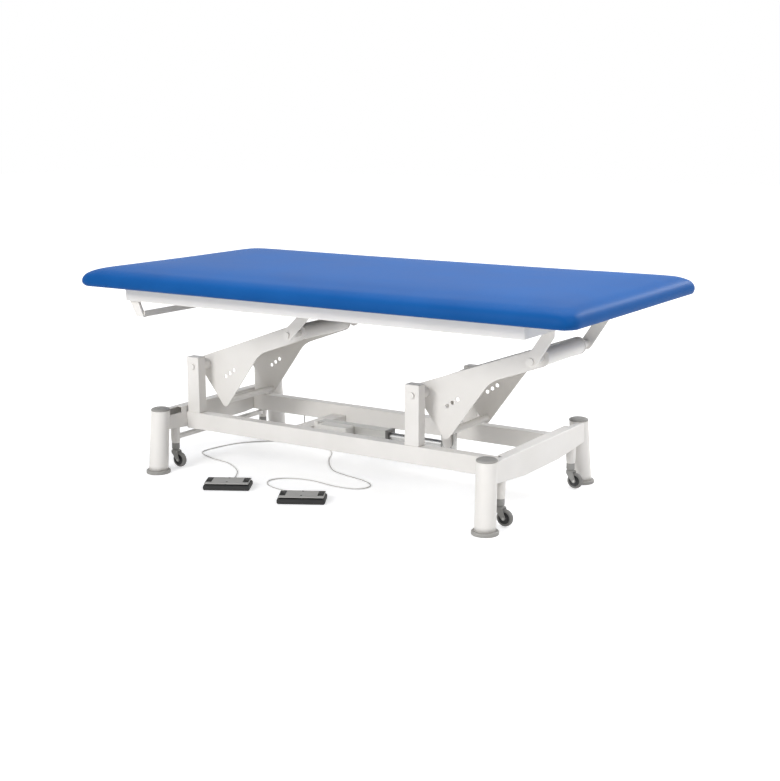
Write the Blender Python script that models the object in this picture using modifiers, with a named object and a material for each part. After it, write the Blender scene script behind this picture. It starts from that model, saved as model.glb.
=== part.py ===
import math

import bmesh
import bpy
import numpy as np
from mathutils import Matrix, Vector

# Driving sizes, in metres. X runs along the table, Y away from the viewer, Z up, floor at zero.
PAD_LENGTH = 1.90
PAD_WIDTH = 1.00
PAD_THICKNESS = 0.0605
PAD_CORNER_RADIUS = 0.05
PAD_UNDERSIDE_Z = 0.672
PAD_CROWN = 0.003
BOARD_THICKNESS = 0.012
BOARD_INSET = 0.040

TOP_TUBE_HEIGHT = 0.050
TOP_TUBE_WIDTH = 0.030
TOP_TUBE_WALL = 0.002
TOP_FRAME_LENGTH = 1.545
TOP_FRAME_WIDTH = 0.82
ROLL_LEG_INSET = 0.022
ROLL_LEG_THICKNESS = 0.012
ROLL_LEG_LEAN = 0.030
ROLL_BAR_REACH = 0.064
ROLL_BAR_DEPTH = 0.034
ROLL_BAR_HEIGHT = 0.022
ROLL_BAR_WALL = 0.004
ROLL_BAR_STEP = 0.0005
ROLL_DROP = 0.0557

ARM_LENGTH = 0.446
ARM_REST_ANGLE = math.radians(19.73)
ARM_PLATE = 0.004
ARM_SPREAD = 0.274
ARM_EDGE = 0.031
ARM_NOSE_TUBE_RADIUS = 0.026
ARM_HUB_RADIUS = 0.021
ARM_TIP_U = 0.0345
ARM_TIP_V = -0.1555
ARM_TIP_RADIUS = 0.0145
ARM_TIE_U = 0.039
ARM_TIE_V = -0.150
ARM_TIE_RADIUS = 0.012
ARM_HOLE_RADIUS = 0.007
ARM_HOLE_PITCH = 0.022
LOWER_PIVOT_RIGHT_X = 0.2545
PIVOT_SPACING = 0.925
LOWER_PIVOT_Z = 0.368
PIVOT_BOLT_RADIUS = 0.008
PIVOT_HEAD_RADIUS = 0.0105
PIVOT_SLEEVE_RADIUS = 0.0125
HANGER_WIDTH = 0.040
HANGER_THICKNESS = 0.006
HANGER_LEAN = 0.055
HANGER_LEAN_LEFT = 0.085
HANGER_SPREAD = 0.394
HANGER_TUBE_WIDTH = 0.050

RAIL_HEIGHT = 0.060
RAIL_WIDTH = 0.040
RAIL_WALL = 0.003
RAIL_BOTTOM_Z = 0.140
RAIL_SPREAD = 0.346
POST_WIDTH = 0.054
POST_TOP_Z = 0.403
LEG_SPACING_X = 1.329
LEG_CENTRE_X = -0.060
LEG_SPACING_Y = 0.700
LEG_TOP_RADIUS = 0.033
LEG_BOTTOM_RADIUS = 0.0342
LEG_SPLAY_X = {"left": 0.0, "right": 0.038}
LEG_SPLAY_Y = 0.0905
LEG_TOP_Z = 0.228
LEG_CAP_RISE = 0.008
FOOT_RADIUS = 0.043
FOOT_HEIGHT = 0.012
BEAM_WIDTH = 0.040
BEAM_WALL = 0.003
BEAM_TOP_Z = 0.222
BEAM_MIDDLE_Z = 0.136
BEAM_END_Z = 0.153
CROSS_MEMBER_X = -0.300
CROSS_MEMBER_WIDTH = 0.060
CROSS_MEMBER_HEIGHT = 0.025

CASTOR_Y = 0.255
CASTOR_TRAIL = 0.018
CASTOR_WHEEL_RADIUS = 0.0275
CASTOR_WHEEL_WIDTH = 0.018
CASTOR_AXLE_Z = 0.030
CASTOR_HOLDER_TOP_Z = 0.185
CASTOR_HOLDER_BOTTOM_Z = 0.0906
CASTOR_HOLDER_RADIUS = 0.0166
CASTOR_CROWN_Z = 0.0595
CASTOR_BAR_LEFT_Z = 0.105
CASTOR_BAR_RIGHT_Z = 0.1425
CASTOR_BAR_HEIGHT = 0.012

ACTUATOR_Z = 0.161
ACTUATOR_REAR_X = -0.255
ACTUATOR_FRONT_X = 0.025
ACTUATOR_PROFILE = 0.044
ROD_RADIUS = 0.014
ROD_REAR_X = -0.120
LEVER_RADIUS = 0.200
LEVER_REST_ANGLE = math.radians(-85.0)
LEVER_PIN_RADIUS = 0.010
YOKE_SLOT_PLAY = 0.0055
YOKE_LOW_Z = 0.137
YOKE_HIGH_Z = 0.248

SWITCH_LENGTH = 0.160
SWITCH_DEPTH = 0.085
SWITCH_BASE_HEIGHT = 0.0185
ROCKER_UNDERSIDE_Z = 0.0222
ROCKER_THICKNESS = 0.0045
SWITCH_TURN = math.radians(29.5)
SWITCH_ONE = (-0.386, -0.373)
SWITCH_TWO = (-0.074, -0.369)
CORD_RADIUS = 0.0025

# Clearances: FIT between pieces that only touch, RUN between pieces that turn or slide.
FIT = 0.0003
RUN = 0.0004

# Everything below follows from the sizes above.
PAD_TOP_Z = PAD_UNDERSIDE_Z + PAD_THICKNESS
TOP_TUBE_TOP_Z = PAD_UNDERSIDE_Z - FIT
TOP_TUBE_BOTTOM_Z = TOP_TUBE_TOP_Z - TOP_TUBE_HEIGHT
TOP_INNER_Y = TOP_FRAME_WIDTH / 2 - TOP_TUBE_WIDTH
LOWER_PIVOT_LEFT_X = LOWER_PIVOT_RIGHT_X - PIVOT_SPACING
UPPER_PIVOT_DX = ARM_LENGTH * math.cos(ARM_REST_ANGLE)
UPPER_PIVOT_Z = LOWER_PIVOT_Z + ARM_LENGTH * math.sin(ARM_REST_ANGLE)
UPPER_PIVOT_LEFT_X = LOWER_PIVOT_LEFT_X + UPPER_PIVOT_DX
UPPER_PIVOT_RIGHT_X = LOWER_PIVOT_RIGHT_X + UPPER_PIVOT_DX
TOP_RIGHT_X = UPPER_PIVOT_RIGHT_X + HANGER_LEAN + HANGER_TUBE_WIDTH / 2
TOP_LEFT_X = TOP_RIGHT_X - TOP_FRAME_LENGTH
ROLL_LEG_Y = TOP_FRAME_WIDTH / 2 - ROLL_LEG_INSET
ARM_OUTER_Y = ARM_SPREAD / 2
ARM_INNER_Y = ARM_OUTER_Y - ARM_PLATE
HANGER_INNER_Y = HANGER_SPREAD / 2
HANGER_OUTER_Y = HANGER_INNER_Y + HANGER_THICKNESS
RAIL_TOP_Z = RAIL_BOTTOM_Z + RAIL_HEIGHT
RAIL_INNER_Y = RAIL_SPREAD / 2
RAIL_OUTER_Y = RAIL_INNER_Y + RAIL_WIDTH
LEG_LEFT_X = LEG_CENTRE_X - LEG_SPACING_X / 2
LEG_RIGHT_X = LEG_CENTRE_X + LEG_SPACING_X / 2
LEG_Y = LEG_SPACING_Y / 2
RAIL_LEFT_X = LEG_LEFT_X + BEAM_WIDTH / 2 + FIT
RAIL_RIGHT_X = LEG_RIGHT_X - BEAM_WIDTH / 2 - FIT
LEVER_PIN_X = LOWER_PIVOT_RIGHT_X + LEVER_RADIUS * math.cos(LEVER_REST_ANGLE)
YOKE_HALF = LEVER_PIN_RADIUS + YOKE_SLOT_PLAY + 0.012

for old in list(bpy.data.objects):
    bpy.data.objects.remove(old, do_unlink=True)

parts = bpy.data.collections.new("bobath_table")
bpy.context.scene.collection.children.link(parts)
cutters = bpy.data.collections.new("cutters")
bpy.context.scene.collection.children.link(cutters)


def material(name, rgb, metallic, roughness):
    made = bpy.data.materials.new(name)
    made.use_nodes = True
    shader = made.node_tree.nodes["Principled BSDF"]
    shader.inputs["Base Color"].default_value = (*rgb, 1.0)
    shader.inputs["Metallic"].default_value = metallic
    shader.inputs["Roughness"].default_value = roughness
    return made


WHITE = material("white_powder_coat", (0.83, 0.81, 0.77), 0.0, 0.40)
GREY = material("grey_plastic", (0.27, 0.27, 0.26), 0.0, 0.50)
PALE = material("pale_plastic", (0.55, 0.55, 0.53), 0.0, 0.45)
DARK = material("dark_rubber", (0.03, 0.03, 0.03), 0.0, 0.65)
STEEL = material("steel", (0.60, 0.60, 0.60), 1.0, 0.28)
VINYL = material("blue_vinyl", (0.10, 0.24, 0.58), 0.0, 0.45)
PLY = material("plywood", (0.45, 0.30, 0.16), 0.0, 0.65)


def holder(name, location, rotation=(0, 0, 0), parent=None):
    made = bpy.data.objects.new(name, None)
    made.empty_display_size = 0.03
    made.location = location
    made.rotation_euler = rotation
    made.parent = parent
    parts.objects.link(made)
    return made


def add_object(name, mesh, look=None, parent=None, where=parts):
    made = bpy.data.objects.new(name, mesh)
    if look:
        mesh.materials.clear()
        mesh.materials.append(look)
    made.parent = parent
    where.objects.link(made)
    return made


def soften(piece, width, segments=1, angle=40):
    bevel = piece.modifiers.new("edge", "BEVEL")
    bevel.width = width
    bevel.segments = segments
    bevel.limit_method = "ANGLE"
    bevel.angle_limit = math.radians(angle)
    return piece


def box(name, look, low, high, parent=None, edge=0.0):
    centre = (Vector(low) + Vector(high)) / 2
    size = Vector(high) - Vector(low)
    bm = bmesh.new()
    bmesh.ops.create_cube(bm, size=1.0, matrix=Matrix.Diagonal((*size, 1.0)))
    mesh = bpy.data.meshes.new(name)
    bm.to_mesh(mesh)
    bm.free()
    made = add_object(name, mesh, look, parent)
    made.location = centre
    return soften(made, edge) if edge else made


TURNS = {"X": (math.pi / 2, 0, math.pi / 2), "Y": (math.pi / 2, 0, 0), "Z": (0, 0, 0)}


def prism(name, look, loops, axis, low, high, parent=None, edge=0.0):
    curve = bpy.data.curves.new(name, "CURVE")
    curve.dimensions = "2D"
    curve.fill_mode = "BOTH"
    curve.extrude = (high - low) / 2
    for loop in loops:
        spline = curve.splines.new("POLY")
        spline.points.add(len(loop) - 1)
        for point, place in zip(spline.points, loop):
            point.co = (place[0], place[1], 0.0, 1.0)
        spline.use_cyclic_u = True
    drawn = bpy.data.objects.new(name + "_drawn", curve)
    parts.objects.link(drawn)
    seen = drawn.evaluated_get(bpy.context.evaluated_depsgraph_get())
    mesh = bpy.data.meshes.new_from_object(seen)
    bpy.data.objects.remove(drawn, do_unlink=True)
    bm = bmesh.new()
    bm.from_mesh(mesh)
    bmesh.ops.remove_doubles(bm, verts=bm.verts, dist=1e-6)
    bmesh.ops.recalc_face_normals(bm, faces=bm.faces)
    bm.to_mesh(mesh)
    bm.free()
    mesh.name = name
    made = add_object(name, mesh, look, parent)
    middle = (low + high) / 2
    made.location = {"X": (middle, 0, 0), "Y": (0, middle, 0), "Z": (0, 0, middle)}[axis]
    made.rotation_euler = TURNS[axis]
    return soften(made, edge) if edge else made


def ring(centre, radius, count=32):
    turn = np.linspace(0, 2 * math.pi, count, endpoint=False)
    return [(centre[0] + radius * math.cos(a), centre[1] + radius * math.sin(a)) for a in turn]


def arc(centre, radius, start, stop, count):
    turn = np.radians(np.linspace(start, stop, count))
    return [(centre[0] + radius * math.cos(a), centre[1] + radius * math.sin(a)) for a in turn]


def oblong(low, high):
    return [(low[0], low[1]), (high[0], low[1]), (high[0], high[1]), (low[0], high[1])]


def tube_section(low, high, wall):
    inner_low = (low[0] + wall, low[1] + wall)
    inner_high = (high[0] - wall, high[1] - wall)
    return [oblong(low, high), oblong(inner_low, inner_high)]


def turned(name, look, profile, location, parent=None, steps=32, lean=(0.0, 0.0)):
    verts = []
    rows = []
    for radius, z in profile:
        middle = (lean[0] * z, lean[1] * z)
        loop = ring(middle, radius, steps) if radius else [middle]
        rows.append(range(len(verts), len(verts) + len(loop)))
        verts += [(x, y, z) for x, y in loop]
    faces = []
    for row, after in zip(rows, rows[1:]):
        for i in range(steps):
            j = (i + 1) % steps
            corners = (row[i % len(row)], row[j % len(row)], after[j % len(after)], after[i % len(after)])
            faces.append(tuple(dict.fromkeys(corners)))
    mesh = bpy.data.meshes.new(name)
    mesh.from_pydata(verts, [], faces)
    bm = bmesh.new()
    bm.from_mesh(mesh)
    bmesh.ops.recalc_face_normals(bm, faces=bm.faces)
    bm.to_mesh(mesh)
    bm.free()
    mesh.shade_smooth()
    mesh.set_sharp_from_angle(angle=math.radians(40))
    made = add_object(name, mesh, look, parent)
    made.location = location
    return made


def combine(base, other, operation):
    if other.name in parts.objects:
        parts.objects.unlink(other)
        cutters.objects.link(other)
    other.hide_render = True
    other.display_type = "WIRE"
    step = base.modifiers.new(operation.lower(), "BOOLEAN")
    step.operation = operation
    step.solver = "EXACT"
    step.object = other
    return base


# Base: two long rails of rectangular tube, the posts on them and the actuator's cross member.
for side, name in ((-1, "near"), (1, "far")):
    low_y, high_y = sorted((side * RAIL_INNER_Y, side * RAIL_OUTER_Y))
    section = tube_section((low_y, RAIL_BOTTOM_Z), (high_y, RAIL_TOP_Z), RAIL_WALL)
    prism("base_rail_" + name, WHITE, section, "X", RAIL_LEFT_X, RAIL_RIGHT_X, edge=0.0012)
    for pivot_x, end in ((LOWER_PIVOT_LEFT_X, "left"), (LOWER_PIVOT_RIGHT_X, "right")):
        face = oblong((pivot_x - POST_WIDTH / 2, RAIL_TOP_Z + FIT), (pivot_x + POST_WIDTH / 2, POST_TOP_Z))
        hole = ring((pivot_x, LOWER_PIVOT_Z), PIVOT_BOLT_RADIUS + FIT, 20)
        prism("post_" + name + "_" + end, WHITE, [face, hole], "Y", low_y, high_y, edge=0.0015)

member_low = CROSS_MEMBER_X - CROSS_MEMBER_WIDTH / 2
member_high = CROSS_MEMBER_X + CROSS_MEMBER_WIDTH / 2
member = tube_section((member_low, RAIL_BOTTOM_Z), (member_high, RAIL_BOTTOM_Z + CROSS_MEMBER_HEIGHT), 0.002)
beam = prism("base_cross_member", WHITE, member, "Y", -RAIL_INNER_Y + FIT, RAIL_INNER_Y - FIT, edge=0.0007)
bracket_high = (ACTUATOR_REAR_X - FIT, 0.025, ACTUATOR_Z + ACTUATOR_PROFILE / 2)
bracket_low = (member_high - 0.001, -0.025, RAIL_BOTTOM_Z + 0.003)
combine(beam, box("bracket", None, bracket_low, bracket_high), "UNION")

# Legs: tapered tubes that lean in to a domed cap above, each in a wider foot ring below.
leg_low = FOOT_HEIGHT + FIT
for x, end, inward in ((LEG_LEFT_X, "left", 1), (LEG_RIGHT_X, "right", -1)):
    for y, side in ((-LEG_Y, "near"), (LEG_Y, "far")):
        wall = 0.003
        lean = (inward * LEG_SPLAY_X[end], -math.copysign(LEG_SPLAY_Y, y))
        swell = np.radians(np.linspace(75, 0, 5))
        outline = [(0.0, LEG_TOP_Z + LEG_CAP_RISE)]
        outline += [(LEG_TOP_RADIUS * math.cos(a), LEG_TOP_Z + LEG_CAP_RISE * math.sin(a)) for a in swell]
        outline += [(LEG_BOTTOM_RADIUS, leg_low), (LEG_BOTTOM_RADIUS - wall, leg_low)]
        outline += [(LEG_TOP_RADIUS - wall, LEG_TOP_Z - wall), (0.0, LEG_TOP_Z - wall)]
        turned("leg_" + side + "_" + end, WHITE, outline, (x, y, 0), lean=lean)
        sole = [(0.0, FOOT_HEIGHT), (FOOT_RADIUS - 0.003, FOOT_HEIGHT), (FOOT_RADIUS, FOOT_HEIGHT - 0.003)]
        sole += [(FOOT_RADIUS, 0.001), (FOOT_RADIUS - 0.001, 0.0), (0.0, 0.0)]
        turned("foot_ring_" + side + "_" + end, GREY, sole, (x, y, 0))

# End beams: downward-open channels between the legs, lower in the middle, slotted beside each leg.
for x, end, inward in ((LEG_LEFT_X, "left", 1), (LEG_RIGHT_X, "right", -1)):
    reach = LEG_Y - 0.012
    rise = (BEAM_END_Z - BEAM_MIDDLE_Z) / (0.31 - 0.125)
    tip_z = BEAM_MIDDLE_Z + rise * (reach - 0.125)
    face = [(-reach, tip_z), (-0.125, BEAM_MIDDLE_Z), (0.125, BEAM_MIDDLE_Z), (reach, tip_z)]
    face += [(reach, BEAM_TOP_Z), (-reach, BEAM_TOP_Z)]
    beam = prism("end_beam_" + end, WHITE, [face], "X", x - BEAM_WIDTH / 2, x + BEAM_WIDTH / 2, edge=0.0012)
    half = BEAM_WIDTH / 2 - BEAM_WALL
    hollow = box("hollow", None, (x - half, -0.45, 0.05), (x + half, 0.45, BEAM_TOP_Z - BEAM_WALL))
    combine(beam, hollow, "DIFFERENCE")
    for side in (-1, 1):
        near_x, far_x = sorted((x + inward * 0.002, x + inward * (BEAM_WIDTH / 2 + 0.01)))
        near_y, far_y = sorted((side * 0.238, side * 0.302))
        slot = box("slot", None, (near_x, near_y, BEAM_TOP_Z - 0.020), (far_x, far_y, BEAM_TOP_Z + 0.01))
        combine(beam, slot, "DIFFERENCE")
        grown = [(LEG_TOP_RADIUS + FIT, LEG_TOP_Z), (LEG_BOTTOM_RADIUS + FIT, leg_low)]
        core = [(0.0, LEG_TOP_Z)] + grown + [(0.0, leg_low)]
        lean = (inward * LEG_SPLAY_X[end], -side * LEG_SPLAY_Y)
        saddle = turned("saddle", None, core, (x, side * LEG_Y, 0), lean=lean)
        combine(beam, saddle, "DIFFERENCE")

# Castors: at each end a bar with two round holders slides down between the beam's cheeks.
castor_ends = ((LEG_LEFT_X, "left", CASTOR_BAR_LEFT_Z), (LEG_RIGHT_X, "right", CASTOR_BAR_RIGHT_Z))
for x, end, bar_z in castor_ends:
    lift = holder("castor_bar_axis_" + end, (x, 0, 0))
    span = CASTOR_Y - 0.008
    bar_high = (0.012, span, bar_z + CASTOR_BAR_HEIGHT)
    bar = box("castor_bar_" + end, WHITE, (-0.012, -span, bar_z), bar_high, lift)
    cup = [(0.0, CASTOR_HOLDER_TOP_Z), (CASTOR_HOLDER_RADIUS, CASTOR_HOLDER_TOP_Z)]
    cup += [(CASTOR_HOLDER_RADIUS, CASTOR_HOLDER_BOTTOM_Z + 0.022)]
    cup += [(CASTOR_HOLDER_RADIUS - 0.002, CASTOR_HOLDER_BOTTOM_Z), (0.0, CASTOR_HOLDER_BOTTOM_Z)]
    for y in (-CASTOR_Y, CASTOR_Y):
        combine(bar, turned("cup", None, cup, (0, y, 0), lift, 28), "UNION")
    for y, side in ((-CASTOR_Y, "near"), (CASTOR_Y, "far")):
        swivel = holder("castor_swivel_" + side + "_" + end, (0, y, 0), parent=lift)
        collar_low = CASTOR_CROWN_Z + 0.0065
        collar_high = CASTOR_HOLDER_BOTTOM_Z - FIT
        stem = [(0.0, collar_high), (0.0145, collar_high), (0.0145, collar_low + 0.004), (0.011, collar_low)]
        stem += [(0.011, collar_low - 0.002), (0.015, collar_low - 0.002), (0.015, CASTOR_CROWN_Z)]
        stem += [(0.0, CASTOR_CROWN_Z)]
        fork = turned("castor_fork_" + side + "_" + end, GREY, stem, (0, 0, 0), swivel, 28)
        axle_place = (CASTOR_TRAIL, CASTOR_AXLE_Z)
        cheek = [(0.013, CASTOR_CROWN_Z + 0.003), (-0.010, CASTOR_CROWN_Z + 0.003)]
        cheek += [(-0.010, CASTOR_CROWN_Z - 0.005)] + arc(axle_place, 0.0065, 215, 385, 8)
        half_wheel = CASTOR_WHEEL_WIDTH / 2
        for hand in (-1, 1):
            low_y, high_y = sorted((hand * (half_wheel + 0.0015), hand * (half_wheel + 0.0045)))
            combine(fork, prism("cheek", None, [cheek], "Y", low_y, high_y, swivel), "UNION")
        reach = half_wheel + 0.003
        axle = prism("axle", None, [ring(axle_place, 0.003, 12)], "Y", -reach, reach, swivel)
        combine(fork, axle, "UNION")
        spin = holder("castor_axle_" + side + "_" + end, (CASTOR_TRAIL, 0, CASTOR_AXLE_Z), parent=swivel)
        disc = [ring((0, 0), CASTOR_WHEEL_RADIUS, 32), ring((0, 0), 0.003 + RUN, 12)]
        tread = prism("castor_wheel_" + side + "_" + end, DARK, disc, "Y", -half_wheel, half_wheel, spin)
        soften(tread, 0.003, 2, 80)


# Lift arms: drawn along their own length, then turned to the rest angle about the lower pivot.
def arm_outline():
    tip = Vector((ARM_TIP_U, ARM_TIP_V))
    gap = ARM_EDGE - ARM_TIP_RADIUS
    lean = math.degrees(math.atan2(tip.y, tip.x))
    touch = lean - 90 - math.degrees(math.asin(gap / tip.length))
    loop = arc((0, 0), ARM_EDGE, 90, 360 + touch, 12)
    drop = 34
    loop += arc(tip, ARM_TIP_RADIUS, 360 + touch, 270 + drop, 8)
    nose = ARM_LENGTH
    low_edge = -(ARM_EDGE - 0.003)
    start = tip + ARM_TIP_RADIUS * Vector((math.sin(math.radians(drop)), -math.cos(math.radians(drop))))
    run = (low_edge - start.y) / math.tan(math.radians(drop))
    corner = Vector((start.x + run, low_edge))
    round_in = 0.10
    back = round_in * math.tan(math.radians(drop / 2))
    centre = (corner.x + back, low_edge - round_in)
    loop += arc(centre, round_in, 90 + drop, 90, 7)
    end_radius = (ARM_EDGE - low_edge) / 2
    loop += arc((nose, (ARM_EDGE + low_edge) / 2), end_radius, -90, 90, 14)
    return loop


outline = arm_outline()
hub_hole = ring((0, 0), ARM_HUB_RADIUS + FIT, 28)
pivot_hole = ring((ARM_LENGTH, 0), PIVOT_BOLT_RADIUS + RUN, 20)
row = [ring((0.093 + i * ARM_HOLE_PITCH, -0.060 + i * 0.006), ARM_HOLE_RADIUS, 18) for i in (-1, 0, 1)]
for pivot_x, end in ((LOWER_PIVOT_LEFT_X, "left"), (LOWER_PIVOT_RIGHT_X, "right")):
    axis = holder("arm_axis_" + end, (pivot_x, 0, LOWER_PIVOT_Z), (0, -ARM_REST_ANGLE, 0))
    for side, name in ((-1, "near"), (1, "far")):
        low_y, high_y = sorted((side * ARM_INNER_Y, side * ARM_OUTER_Y))
        loops = [outline, hub_hole, pivot_hole] + row
        prism("arm_plate_" + name + "_" + end, WHITE, loops, "Y", low_y, high_y, axis, edge=0.0008)
    inside = ARM_INNER_Y - FIT
    nose = (ARM_LENGTH, 0.0)
    pipe = [ring(nose, ARM_NOSE_TUBE_RADIUS, 32), ring(nose, ARM_NOSE_TUBE_RADIUS - 0.003, 32)]
    web = prism("arm_web_" + end, WHITE, pipe, "Y", -inside, inside, axis)
    web_low = (0.005, -inside, ARM_EDGE - 0.006)
    web_high = (ARM_LENGTH, inside, ARM_EDGE - 0.002)
    combine(web, box("web", None, web_low, web_high, axis), "UNION")
    reach = RAIL_INNER_Y - 0.0006
    bore = [ring((0, 0), ARM_HUB_RADIUS, 28), ring((0, 0), PIVOT_BOLT_RADIUS + RUN, 20)]
    prism("arm_hub_tube_" + end, WHITE, bore, "Y", -reach, reach, axis)
    tie = [ring((ARM_TIE_U, ARM_TIE_V), ARM_TIE_RADIUS, 24)]
    prism("arm_tie_bar_" + end, WHITE, tie, "Y", -inside, inside, axis)

# Drive lever: two cheeks welded to the right hub tube, with a cross pin in the rod's slotted yoke.
lever_axis = bpy.data.objects["arm_axis_right"]
hub = bpy.data.objects["arm_hub_tube_right"]
turn = LEVER_REST_ANGLE - ARM_REST_ANGLE
end_u = LEVER_RADIUS * math.cos(turn)
end_v = LEVER_RADIUS * math.sin(turn)
slope = math.degrees(turn)
shape = arc((0, 0), 0.024, slope + 92, slope + 268, 14)
shape += arc((end_u, end_v), 0.016, slope - 90, slope + 90, 10)
weld_hole = ring((0, 0), ARM_HUB_RADIUS - 0.003, 28)
for low_y, high_y in ((-0.0145, -0.0085), (0.0085, 0.0145)):
    combine(hub, prism("cheek", None, [shape, weld_hole], "Y", low_y, high_y, lever_axis), "UNION")
pin = [ring((end_u, end_v), LEVER_PIN_RADIUS, 20)]
combine(hub, prism("pin", None, pin, "Y", -0.0105, 0.0105, lever_axis), "UNION")


# Pivot shafts: one rod for each pivot line, with a round head at both ends.
def shaft(name, place, half, parent=None):
    made = prism(name, STEEL, [ring(place, PIVOT_BOLT_RADIUS, 20)], "Y", -half, half, parent)
    for side in (-1, 1):
        low_y, high_y = sorted((side * (half - 0.002), side * (half + 0.004)))
        head = prism("head", None, [ring(place, PIVOT_HEAD_RADIUS, 24)], "Y", low_y, high_y, parent)
        combine(made, head, "UNION")
    return made


for pivot_x, end in ((LOWER_PIVOT_LEFT_X, "left"), (LOWER_PIVOT_RIGHT_X, "right")):
    shaft("lower_shaft_" + end, (pivot_x, LOWER_PIVOT_Z), RAIL_OUTER_Y + FIT + 0.002)

# Top: frame tubes, and two cross tubes whose hanger straps hold the upper pivot shafts.
top = holder("top_axis", (UPPER_PIVOT_RIGHT_X, 0, UPPER_PIVOT_Z))
shift = Vector((-UPPER_PIVOT_RIGHT_X, 0, -UPPER_PIVOT_Z))


def to_top(piece):
    piece.parent = top
    piece.location = Vector(piece.location) + shift
    return piece


for side, name in ((-1, "near"), (1, "far")):
    low_y, high_y = sorted((side * TOP_INNER_Y, side * TOP_FRAME_WIDTH / 2))
    section = tube_section((low_y, TOP_TUBE_BOTTOM_Z), (high_y, TOP_TUBE_TOP_Z), TOP_TUBE_WALL)
    to_top(prism("top_rail_" + name, WHITE, section, "X", TOP_LEFT_X, TOP_RIGHT_X, edge=0.0008))

reach = TOP_INNER_Y - FIT
end_high = (TOP_LEFT_X + TOP_TUBE_WIDTH, TOP_TUBE_TOP_Z)
section = tube_section((TOP_LEFT_X, TOP_TUBE_BOTTOM_Z), end_high, TOP_TUBE_WALL)
to_top(prism("top_end_left", WHITE, section, "Y", -reach, reach, edge=0.0008))

hanger_top = TOP_TUBE_BOTTOM_Z + 0.001
hangers = ((UPPER_PIVOT_LEFT_X, HANGER_LEAN_LEFT, "left"), (UPPER_PIVOT_RIGHT_X, HANGER_LEAN, "right"))
for pivot_x, offset, end in hangers:
    middle = pivot_x + offset
    low_x = middle - HANGER_TUBE_WIDTH / 2
    high_x = middle + HANGER_TUBE_WIDTH / 2
    section = tube_section((low_x, TOP_TUBE_BOTTOM_Z), (high_x, TOP_TUBE_TOP_Z), TOP_TUBE_WALL)
    hanger = to_top(prism("hanger_" + end, WHITE, section, "Y", -reach, reach))
    lean = math.degrees(math.atan2(offset, hanger_top - UPPER_PIVOT_Z - 0.02))
    half = HANGER_WIDTH / 2
    strap = arc((pivot_x, UPPER_PIVOT_Z), half, 180 - lean, 360 - lean, 13)
    strap += [(middle + half, hanger_top - 0.024), (middle + half, hanger_top)]
    strap += [(middle - half, hanger_top), (middle - half, hanger_top - 0.016)]
    hole = ring((pivot_x, UPPER_PIVOT_Z), PIVOT_BOLT_RADIUS + FIT, 20)
    for side in (-1, 1):
        low_y, high_y = sorted((side * HANGER_INNER_Y, side * HANGER_OUTER_Y))
        combine(hanger, to_top(prism("strap", None, [strap, hole], "Y", low_y, high_y)), "UNION")
    place = (pivot_x - UPPER_PIVOT_RIGHT_X, 0.0)
    rod = shaft("upper_shaft_" + end, place, HANGER_OUTER_Y + FIT + 0.002, top)
    for side in (-1, 1):
        low_y, high_y = sorted((side * (ARM_OUTER_Y + RUN), side * (HANGER_INNER_Y - FIT)))
        sleeve = prism("sleeve", None, [ring(place, PIVOT_SLEEVE_RADIUS, 24)], "Y", low_y, high_y, top)
        combine(rod, sleeve, "UNION")

# Roll holder: two short slanted legs under the left end with an angle bar between them. The bar
# ends far enough left to pass the posts when the top comes down.
roll_right = TOP_LEFT_X + ROLL_BAR_REACH
roll_left = roll_right - ROLL_BAR_DEPTH
roll_low = TOP_TUBE_BOTTOM_Z - ROLL_DROP
roll_top = TOP_TUBE_BOTTOM_Z - FIT
bar_z = roll_low + ROLL_BAR_STEP
bar_low = (roll_left + ROLL_BAR_STEP, -ROLL_LEG_Y, bar_z)
bar_high = (roll_right - ROLL_BAR_STEP, ROLL_LEG_Y, bar_z + ROLL_BAR_WALL)
roll_bar = to_top(box("roll_holder", WHITE, bar_low, bar_high))
flange_low = (bar_high[0] - ROLL_BAR_WALL, -ROLL_LEG_Y, bar_z)
flange_high = (bar_high[0], ROLL_LEG_Y, roll_low + ROLL_BAR_HEIGHT)
combine(roll_bar, to_top(box("flange", None, flange_low, flange_high)), "UNION")
side_view = [(roll_left - ROLL_LEG_LEAN, roll_top), (roll_left, roll_low)]
side_view += [(roll_right, roll_low), (roll_right - ROLL_LEG_LEAN + ROLL_BAR_WALL, roll_top)]
for y in (-ROLL_LEG_Y, ROLL_LEG_Y):
    low_y = y - ROLL_LEG_THICKNESS / 2
    high_y = y + ROLL_LEG_THICKNESS / 2
    combine(roll_bar, to_top(prism("slanted_leg", None, [side_view], "Y", low_y, high_y)), "UNION")

# Board and pad: the board lies in a pocket in the pad's underside.
half_x = PAD_LENGTH / 2
half_y = PAD_WIDTH / 2


def rounded(inset, radius, rows):
    x = half_x - inset
    y = half_y - inset
    r = max(radius - inset, 0.012)
    loop = []
    for cx, cy, start in ((1, -1, -90), (1, 1, 0), (-1, 1, 90), (-1, -1, 180)):
        loop += arc((cx * (x - r), cy * (y - r)), r, start, start + 90, rows)
    return loop


board_top = PAD_UNDERSIDE_Z + BOARD_THICKNESS
board = [rounded(BOARD_INSET + FIT, PAD_CORNER_RADIUS, 8)]
to_top(prism("pad_board", PLY, board, "Z", PAD_UNDERSIDE_Z, board_top))

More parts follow.
